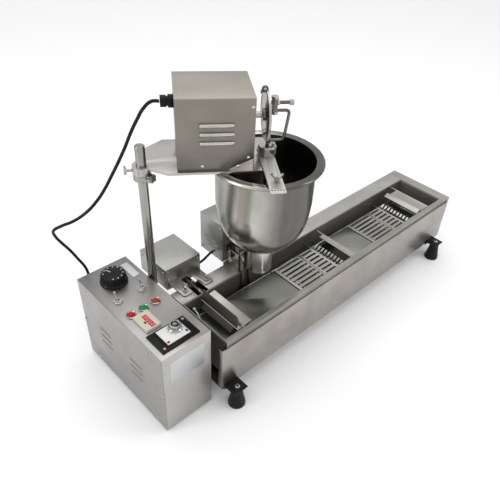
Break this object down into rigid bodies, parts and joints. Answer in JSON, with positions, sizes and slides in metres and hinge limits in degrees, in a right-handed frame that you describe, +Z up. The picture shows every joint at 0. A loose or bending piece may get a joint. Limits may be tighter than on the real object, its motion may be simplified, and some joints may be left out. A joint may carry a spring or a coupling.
{
  "type": "donut maker",
  "caption": "Automatic donut maker: oil trough with trays, pushers and flippers, a swivelling depositor head with a hopper on a post, and a control box.",
  "frame": {"origin": "middle of the underside, at floor level, without the head cord", "axes": "+X along the trough from the control box to the discharge end, +Y from the operator's side to the back, +Z up"},
  "size_m": [1.0605, 0.417, 0.6628],
  "materials": {
    "satin_steel": "satin brushed stainless sheet",
    "pan_steel": "dull stainless sheet, darker inside",
    "tray_steel": "plain stainless sheet",
    "rod_steel": "bright drawn stainless rod",
    "machined_steel": "turned and milled stainless",
    "bowl_steel": "spun stainless, fine brushing round the axis",
    "element_steel": "heat-darkened stainless tube",
    "motor_metal": "cast motor body",
    "bright_chrome": "chrome plate",
    "black_plastic": "moulded black plastic",
    "beige_plastic": "moulded beige plastic",
    "clear_plastic": "clear plastic knob over chrome",
    "lamp_red": "red lens in a chrome bezel",
    "lamp_green": "green lens in a chrome bezel",
    "lamp_amber": "dull orange lens in a chrome bezel",
    "black_paint": "black painted steel",
    "black_rubber": "moulded rubber",
    "cord_rubber": "black cable jacket"
  },
  "bodies": {
    "frame": {"trough_casing": "satin_steel", "oil_pan": "pan_steel", "deck_plate_left": "satin_steel", "deck_cover": "satin_steel", "tray_rack": "rod_steel", "drop_tray": "tray_steel", "grid_tray_1": "tray_steel", "middle_tray": "tray_steel", "grid_tray_2": "tray_steel", "drive_cover": "satin_steel", "drive_base": "satin_steel", "drive_bearing": "black_plastic", "drive_motor": "motor_metal", "heater_box": "satin_steel", "heating_element": "element_steel", "heater_lead": "cord_rubber", "sensor_capillary": "rod_steel", "foot_bracket_1": "black_paint", "foot_bracket_2": "black_paint", "foot_bracket_3": "black_paint", "foot_bracket_4": "black_paint", "foot_1": "black_rubber", "foot_2": "black_rubber", "foot_3": "black_rubber", "foot_4": "black_rubber", "control_box": "satin_steel", "control_side_panel": "satin_steel", "switch_bezel_1": "bright_chrome", "switch_bezel_2": "bright_chrome", "lamp_1": "lamp_red", "lamp_2": "lamp_green", "lamp_3": "lamp_amber", "meter_case": "beige_plastic", "timer_frame": "black_plastic", "post": "rod_steel", "post_bracket": "satin_steel", "head_cord": "cord_rubber"},
    "collar": {"height_collar": "machined_steel"},
    "arm": {"arm_plate": "machined_steel", "motor_cover": "satin_steel", "depositor_motor": "motor_metal", "cord_gland": "black_plastic", "bushing": "machined_steel", "strap": "tray_steel", "hopper": "bowl_steel", "hopper_neck": "machined_steel"},
    "thumbscrew": {"thumbscrew": "rod_steel"},
    "wing_nut": {"wing_nut": "rod_steel"},
    "crank": {"crank_disc": "machined_steel"},
    "plunger": {"plunger": "machined_steel"},
    "connecting_rod": {"connecting_rod": "rod_steel"},
    "knob": {"thermostat_knob": "black_plastic"},
    "dial": {"timer_dial": "clear_plastic"},
    "lever_1": {"switch_lever_1": "bright_chrome"},
    "lever_2": {"switch_lever_2": "bright_chrome"},
    "pusher_1": {"pusher_1": "rod_steel"},
    "pusher_2": {"pusher_2": "rod_steel"},
    "discharge_scoop": {"discharge_scoop": "rod_steel"},
    "flipper_1": {"flipper_1": "rod_steel"},
    "flipper_2": {"flipper_2": "rod_steel"}
  },
  "joints": [
    {"name": "head_height", "type": "slide", "parent": "frame", "child": "collar", "axis": [0, 0, 1], "range_m": [-0.005, 0.03]},
    {"name": "head_swivel", "type": "hinge", "parent": "collar", "child": "arm", "pos_m": [-0.384, 0.0895, 0.5065], "axis": [0, 0, 1], "range_deg": [-55, 0]},
    {"name": "thumbscrew_turn", "type": "hinge", "parent": "arm", "child": "thumbscrew", "pos_m": [-0.4086, 0.1067, 0.5065], "axis": [-0.82, 0.5724, 0], "continuous": true},
    {"name": "wing_nut_turn", "type": "hinge", "parent": "arm", "child": "wing_nut", "pos_m": [-0.2263, -0.123, 0.5235], "axis": [0, 0, 1], "continuous": true},
    {"name": "crank_spin", "type": "hinge", "parent": "arm", "child": "crank", "pos_m": [-0.1758, -0.0245, 0.6045], "axis": [0.82, -0.5724, 0], "continuous": true},
    {"name": "plunger_stroke", "type": "slide", "parent": "arm", "child": "plunger", "axis": [0, 0, 1], "range_m": [0, 0.022]},
    {"name": "rod_swing", "type": "hinge", "parent": "plunger", "child": "connecting_rod", "pos_m": [-0.1645, -0.0324, 0.5495], "axis": [0.82, -0.5724, 0], "range_deg": [-12, 12]},
    {"name": "thermostat_turn", "type": "hinge", "parent": "frame", "child": "knob", "pos_m": [-0.4615, 0.1239, 0.2382], "axis": [0, 0, -1], "range_deg": [0, 270]},
    {"name": "timer_turn", "type": "hinge", "parent": "frame", "child": "dial", "pos_m": [-0.4481, -0.0801, 0.2415], "axis": [0, 0, -1], "range_deg": [0, 300]},
    {"name": "switch_1_flick", "type": "hinge", "parent": "frame", "child": "lever_1", "pos_m": [-0.4295, 0.0629, 0.2412], "axis": [1, 0, 0], "range_deg": [0, 50]},
    {"name": "switch_2_flick", "type": "hinge", "parent": "frame", "child": "lever_2", "pos_m": [-0.4915, 0.0619, 0.2412], "axis": [1, 0, 0], "range_deg": [0, 50]},
    {"name": "pusher_1_spin", "type": "hinge", "parent": "frame", "child": "pusher_1", "pos_m": [-0.3015, -0.0591, 0.1815], "axis": [0, -1, 0], "continuous": true},
    {"name": "pusher_2_spin", "type": "hinge", "parent": "frame", "child": "pusher_2", "pos_m": [0.089, -0.0591, 0.1815], "axis": [0, -1, 0], "continuous": true},
    {"name": "discharge_scoop_turn", "type": "hinge", "parent": "frame", "child": "discharge_scoop", "pos_m": [0.4335, -0.0591, 0.1815], "axis": [0, 1, 0], "range_deg": [0, 105]},
    {"name": "flipper_1_turn", "type": "hinge", "parent": "frame", "child": "flipper_1", "pos_m": [0.0465, -0.0591, 0.154], "axis": [0, 1, 0], "range_deg": [0, 105]},
    {"name": "flipper_2_turn", "type": "hinge", "parent": "frame", "child": "flipper_2", "pos_m": [0.3465, -0.0591, 0.154], "axis": [0, 1, 0], "range_deg": [0, 105]}
  ],
  "couplings": [
    {"joint": "pusher_2_spin", "follows": "pusher_1_spin", "ratio": 1},
    {"joint": "discharge_scoop_turn", "follows": "flipper_1_turn", "ratio": 1},
    {"joint": "flipper_2_turn", "follows": "flipper_1_turn", "ratio": 1}
  ]
}
